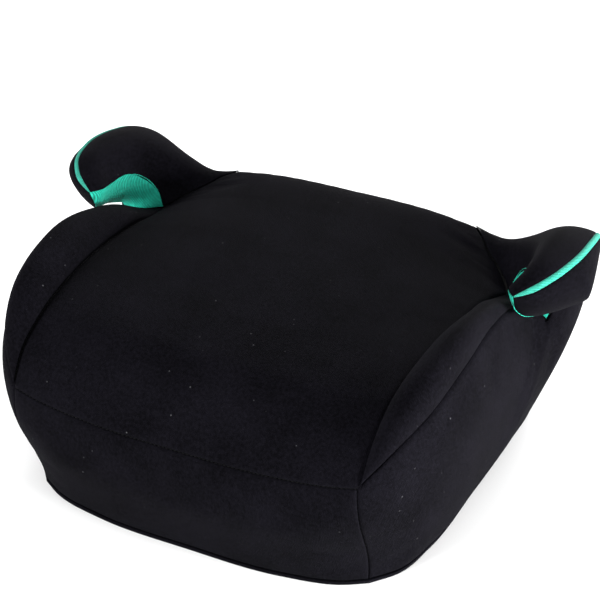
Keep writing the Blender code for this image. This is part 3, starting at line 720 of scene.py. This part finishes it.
def rib_knit(name, dark, light, pitch, slant):
    """Green ribbed knit trim: slanted ribs with dark valleys, uneven dye and fuzz."""
    n = Nodes(name)
    uv = n.add("ShaderNodeUVMap", "UV", {"uv_map": "weave"})
    turned = n.add("ShaderNodeMapping", "Vector", Vector=uv, Rotation=(0, 0, slant))
    ribs = n.wave("X", pitch, 1.2, turned)
    cross = n.wave("Y", pitch * 0.8, 0.8, turned)
    mottle = n.noise(240, 3)
    tone = n.math("ADD", n.math("MULTIPLY", ribs, 0.55), n.math("MULTIPLY", mottle, 0.6))
    colour = n.mix(n.ramp(tone, 0.3, 0.85), dark, light)
    colour = n.mix(n.math("MULTIPLY", n.ramp(cross, 0.7, 1.0), 0.22), colour, dark)
    n.shade(Base_Color=colour, Roughness=n.ramp(mottle, 0.3, 0.7, 0.7, 0.9))
    n.shade(Sheen_Weight=0.04, Sheen_Roughness=0.4, Specular_IOR_Level=0.1)
    height = n.math("ADD", ribs, n.math("MULTIPLY", cross, 0.4))
    n.shade(Normal=n.bump(n.noise(1300, 3), 0.0002, 0.5, n.bump(height, 0.0004, 0.8)))
    return n.material


def grained_plastic(name, dark, light, grain_scale):
    """Moulded plastic with a fine leather-like grain, scuffs and dust."""
    n = Nodes(name)
    scuffs = n.ramp(n.noise(70, 5, 0.75), 0.58, 0.72)
    colour = n.mix(n.ramp(n.noise(16), 0.3, 0.7), dark, light)
    worn = n.math("MULTIPLY", n.math("MAXIMUM", n.edges(0.54, 0.66), scuffs), 0.4)
    colour = n.mix(worn, colour, (0.02, 0.02, 0.021, 1))
    n.shade(Base_Color=colour, Roughness=n.ramp(n.noise(300), 0.3, 0.7, 0.5, 0.7), Specular_IOR_Level=0.25)
    n.shade(Normal=n.bump(n.cells(grain_scale, feature="SMOOTH_F1"), 0.00025, 0.5))
    return n.material


def pad_foam(name):
    """Charcoal open-cell foam."""
    n = Nodes(name)
    pores = n.cells(700)
    colour = n.mix(n.ramp(pores, 0.1, 0.6), (0.003, 0.003, 0.0034, 1), (0.01, 0.01, 0.011, 1))
    n.shade(Base_Color=colour, Roughness=n.ramp(n.noise(90), 0.3, 0.7, 0.85, 1.0))
    n.shade(Normal=n.bump(pores, 0.0005, 0.8))
    return n.material


def zinc(name):
    """Zinc-plated screw steel with a faint crystal pattern and turning marks."""
    n = Nodes(name)
    colour = n.mix(n.math("MULTIPLY", n.cells(900, "Color"), 0.5), (0.5, 0.5, 0.52, 1), (0.66, 0.65, 0.6, 1))
    n.shade(Base_Color=colour, Metallic=1.0, Roughness=n.ramp(n.noise(500, 3), 0.3, 0.7, 0.28, 0.5))
    n.shade(Normal=n.bump(n.noise(1800), 0.00008, 0.4))
    return n.material


def thread(name):
    """Twisted black polyester sewing thread."""
    n = Nodes(name)
    twist = n.noise(2600)
    n.shade(Base_Color=n.mix(twist, (0.0012, 0.0012, 0.0014, 1), (0.0022, 0.0022, 0.0025, 1)))
    n.shade(Roughness=n.ramp(twist, 0, 1, 0.45, 0.7), Specular_IOR_Level=0.08)
    n.shade(Normal=n.bump(twist, 0.0001, 0.6))
    return n.material


def stitch_frames(curve, normals):
    """The middle of each stitch along a seam, and the directions along, across and up from it."""
    length = lengths(curve)
    count = int(length[-1] / STITCH_PITCH)
    at = (np.arange(count) + 0.5) * length[-1] / count
    up = read_curve(normals, length, at)
    ahead = read_curve(curve, length, at + 0.5) - read_curve(curve, length, at - 0.5)
    ahead /= np.linalg.norm(ahead, axis=1)[:, None]
    up -= ahead * (up * ahead).sum(axis=1)[:, None]
    up /= np.linalg.norm(up, axis=1)[:, None]
    middle = read_curve(curve, length, at) - up * (BODY_SHEET.seam_depth - 0.1)
    return zip(middle, ahead, np.cross(ahead, up), up)


def stitches(seams):
    """A row of short sewing stitches in the bottom of each seam."""
    points, faces = [], []
    for middle, ahead, across, up in (found for seam_line in seams for found in stitch_frames(*seam_line)):
        first = len(points)
        for place, size in STITCH_RINGS:
            centre = middle + ahead * place * STITCH_LENGTH - up * place * place
            for k in range(STITCH_SIDES):
                turn = 2 * math.pi * k / STITCH_SIDES
                outward = across * math.cos(turn) + up * math.sin(turn)
                points.append(centre + outward * size * STITCH_RADIUS)
        rings = np.arange(first, len(points)).reshape(-1, STITCH_SIDES)
        closed = np.hstack([rings, rings[:, :1]])
        faces += quads_of(closed).tolist() + [rings[0, ::-1].tolist(), rings[-1].tolist()]
    return make("body_seam_stitches", points, faces, MATERIALS["thread"])


def hem_line(skin):
    """Points round the cover's lower edge, the outward direction at each and the length up to each."""
    loop = []
    for patch, backwards in (("front", False), ("right_side", False), ("rear", True), ("left_side", True)):
        row = skin.grids[patch][-1]
        loop += list(row[::-1] if backwards else row)[:-1]
    out = skin.normals[loop] * (1, 1, 0)
    for _ in range(30):
        out = out + 0.5 * (np.roll(out, 1, axis=0) + np.roll(out, -1, axis=0))
        out /= np.linalg.norm(out, axis=1)[:, None]
    edge = skin.points[loop]
    edge, out = np.vstack([edge, edge[:1]]), np.vstack([out, out[:1]])
    length = lengths(edge)
    at = np.linspace(0, length[-1], HEM_POINTS, endpoint=False)
    return read_curve(edge, length, at) * (1, 1, 0), read_curve(out, length, at), at, length[-1]


def hem(skin):
    """The cover's turned-under lower edge: a gathered fold with an elastic cord in its inner edge."""
    edge, out, at, whole_length = hem_line(skin)
    gather = np.sin(at / whole_length * 2 * math.pi * HEM_GATHERS + 2.2 * rough(edge, 30, 2.0))
    gather = gather * (0.6 + 0.4 * rough(edge, 12, 5.0))
    rows, uv = [], []
    for inward, height in HEM_SECTION:
        share = np.clip(inward / 12, 0, 1) ** 1.5
        wave = share * gather * (0.28 if height > HEM_HEIGHT / 2 else -0.12)
        here = edge - out * (inward + 0.25 * share * gather)[:, None]
        here[:, 2] = np.clip(height + wave, 0.0, HEM_HEIGHT - 0.02)
        rows.append(here)
        uv.append(np.stack([at, np.full(HEM_POINTS, inward)], axis=1) * MM)
    index = np.arange(len(rows) * HEM_POINTS).reshape(len(rows), HEM_POINTS)
    index = np.pad(index, ((0, 1), (0, 1)), mode="wrap")
    points = np.concatenate(rows)
    obj = make("cover_hem_fold", points, quads_of(index).tolist(), MATERIALS["hem"], np.concatenate(uv))
    weld(obj)
    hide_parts("cover_hem")
    return obj


def gathered(points):
    """The belt guide's lining hangs a little loose: ridges fan out from the bend of the mouth."""
    from_seam, across, down = seam_distance(points)
    share = down / np.maximum(down[-1:], 1e-6)
    slant = across * 0.55 + down * 0.8 + 2.2 * rough(points, 16, 4.0)
    ridges = np.abs(np.sin(slant / 5.2 * math.pi)) ** 0.7 + 0.5 * np.sin(slant / 2.3)
    amount = np.clip(share * 2.2 - 0.35, 0, 1) * np.clip((1 - share) * 6, 0, 1)
    return LINING_PUFF + 0.75 * ridges * amount * (1 - np.exp(-from_seam / 3.5))


def guide_cover(side, skin):
    """The four cover panels of one belt guide."""
    loose = gathered(skin.patch("lining")[0])
    for patch, rise, sheet, material, slot, fill in (
        ("inner", PLAIN_PUFF, GUIDE_SHEET, "guide", "cover_fabric", 0.45),
        ("outer", PLAIN_PUFF, GUIDE_SHEET, "guide", "cover_fabric", 0.35),
        ("lining", loose, LINING_SHEET, "lining", "trim_fabric", 0.1),
        ("strip", 0, STRIP_SHEET, "strip", "trim_fabric", 0.2),
    ):
        node = f"{side}_guide_{patch}"
        panel(node + "_cover", node, skin, patch, rise, sheet, MATERIALS[material])


def puffed(patch, coarse, few, n):
    """How far a body panel rises as cloth, read at the fine lines."""
    lines = {"seat": ("seat", "across"), "front": ("down", "across"), "rear": ("down", "rear")}
    lines |= {"bolster": ("inner", "bolster"), "side": ("down", "side")}
    rows, cols = lines[patch.split("_")[-1]]
    rise = simulated(patch, *coarse.patch(patch))
    rise = PUFF_CAP * np.tanh(np.maximum(rise, PUFF_FLOOR) / PUFF_CAP)
    return read_at(rise, getattr(few, rows), getattr(few, cols), getattr(n, rows), getattr(n, cols))


def body_seams(skin):
    """The points and normals along each seam of the seat body."""
    seams = [skin.grids["front"][0], skin.grids["rear"][0]]
    for side in ("left", "right"):
        bolster, wall = skin.grids[side + "_bolster"], skin.grids[side + "_side"]
        seams += [bolster[:, 0], bolster[:, -1], wall[:, 0], wall[:, -1]]
    return [(skin.points[line], skin.normals[line]) for line in seams]


def make_cover():
    """Every cover panel, the body's stitches and the hem."""
    n, few = Lines(Grid(FINE, BESIDE_SEAM)), Lines(Grid(SIM_FINE, ()))
    c = curves(n)
    skin, coarse = Skin(body_patches(n, c)), Skin(body_patches(few, curves(few)))
    for patch in skin.grids:
        rise = puffed(patch, coarse, few, n)
        name, node, material = f"{patch}_cover", f"{patch}_panel", MATERIALS["cover"]
        panel(name, node, skin, patch, rise, BODY_SHEET, material)
    stitches(body_seams(skin))
    hem(skin)

    patches = guide_patches(n, c)
    for side, sign in (("right", 1), ("left", -1)):
        guide_cover(side, Skin({k: (sign, 1, 1) * grid + (0, 0, GUIDE_LIFT) for k, grid in patches.items()}))


def finish_cad_nodes():
    """Materials for the CAD nodes that stay as they are."""
    foam = pad_foam("pad_foam")
    dark = (0.0035, 0.0035, 0.004, 1)
    shell = grained_plastic("base_plastic_grain", dark, (0.007, 0.007, 0.008, 1), 800)
    core = grained_plastic("guide_plastic_grain", dark, (0.0075, 0.0075, 0.0085, 1), 900)
    steel = zinc("zinc_plated_steel")
    for name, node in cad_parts.items():
        if name.endswith("_foam"):
            material, slot = foam, "padding_foam"
        elif name == "base_shell":
            material, slot = shell, "base_plastic"
        elif name.endswith("_core"):
            material, slot = core, "guide_plastic"
        elif "screw" in name:
            material, slot = steel, "screw_steel"
        else:
            continue
        node.data.materials.clear()
        node.data.materials.append(material)


def add_light(name, place, aim, size, power):
    """A softbox."""
    data = bpy.data.lights.new(name, "AREA")
    data.shape = "RECTANGLE"
    data.size, data.size_y = size
    data.energy = power
    light = bpy.data.objects.new(name, data)
    bpy.context.scene.collection.objects.link(light)
    light.location = place
    light.rotation_mode = "QUATERNION"
    light.rotation_quaternion = (Vector(aim) - Vector(place)).to_track_quat("-Z", "Y")


def make_floor():
    """A plain pale floor."""
    size, z = 30, -0.0005
    mesh = bpy.data.meshes.new("floor")
    corners = [(-size, -size, z), (size, -size, z), (size, size, z), (-size, size, z)]
    mesh.from_pydata(corners, [], [(0, 1, 2, 3)])
    floor = bpy.data.objects.new("floor", mesh)
    bpy.context.scene.collection.objects.link(floor)
    n = Nodes("pale_floor")
    tone = n.mix(n.ramp(n.noise(3), 0.3, 0.7), (0.86, 0.86, 0.86, 1), (0.9, 0.9, 0.9, 1))
    n.shade(Base_Color=tone, Roughness=0.9, Specular_IOR_Level=0.1)
    mesh.materials.append(n.material)


def make_light():
    """A white studio with three softboxes."""
    world = bpy.data.worlds.new("studio")
    world.use_nodes = True
    back = world.node_tree.nodes["Background"]
    back.inputs["Color"].default_value = (1, 1, 1, 1)
    back.inputs["Strength"].default_value = 1.0
    bpy.context.scene.world = world
    bpy.context.scene.view_settings.view_transform = "Standard"
    middle = (0, 0, 0.1)
    add_light("key", (2.1, -0.1, 0.25), middle, (1.2, 0.6), 185)
    add_light("front", (-1.2, -2.0, 0.7), middle, (1.2, 0.6), 85)
    add_light("rim", (-0.2, 2.2, 1.1), middle, (1.6, 0.5), 40)


def make_camera():
    """A long lens, from above the front right corner."""
    camera = bpy.data.cameras.new("camera")
    camera.lens = 114
    camera.sensor_width = 36
    camera.clip_start = 0.05
    eye = bpy.data.objects.new("camera", camera)
    bpy.context.scene.collection.objects.link(eye)
    azimuth, elevation, distance = math.radians(26.1), math.radians(32.0), 1.5084
    back = Vector((math.sin(azimuth), -math.cos(azimuth), 0)) * math.cos(elevation)
    back.z = math.sin(elevation)
    eye.location = Vector((0.017, SHIFT_Y * MM, 0.139)) + back * distance
    eye.rotation_mode = "QUATERNION"
    eye.rotation_quaternion = (-back).to_track_quat("-Z", "Y")
    bpy.context.scene.camera = eye


MATERIALS = {
    "cover": knit("cover_knit"),
    "guide": knit("guide_knit"),
    "hem": knit("hem_knit"),
    "lining": rib_knit("lining_rib_knit", (0.004, 0.15, 0.105, 1), (0.018, 0.46, 0.33, 1), 0.0015, 0.9),
    "strip": rib_knit("strip_rib_knit", (0.008, 0.14, 0.10, 1), (0.035, 0.32, 0.24, 1), 0.0013, 1.1),
    "thread": thread("black_thread"),
}

make_cover()
finish_cad_nodes()
make_floor()
make_light()
make_camera()
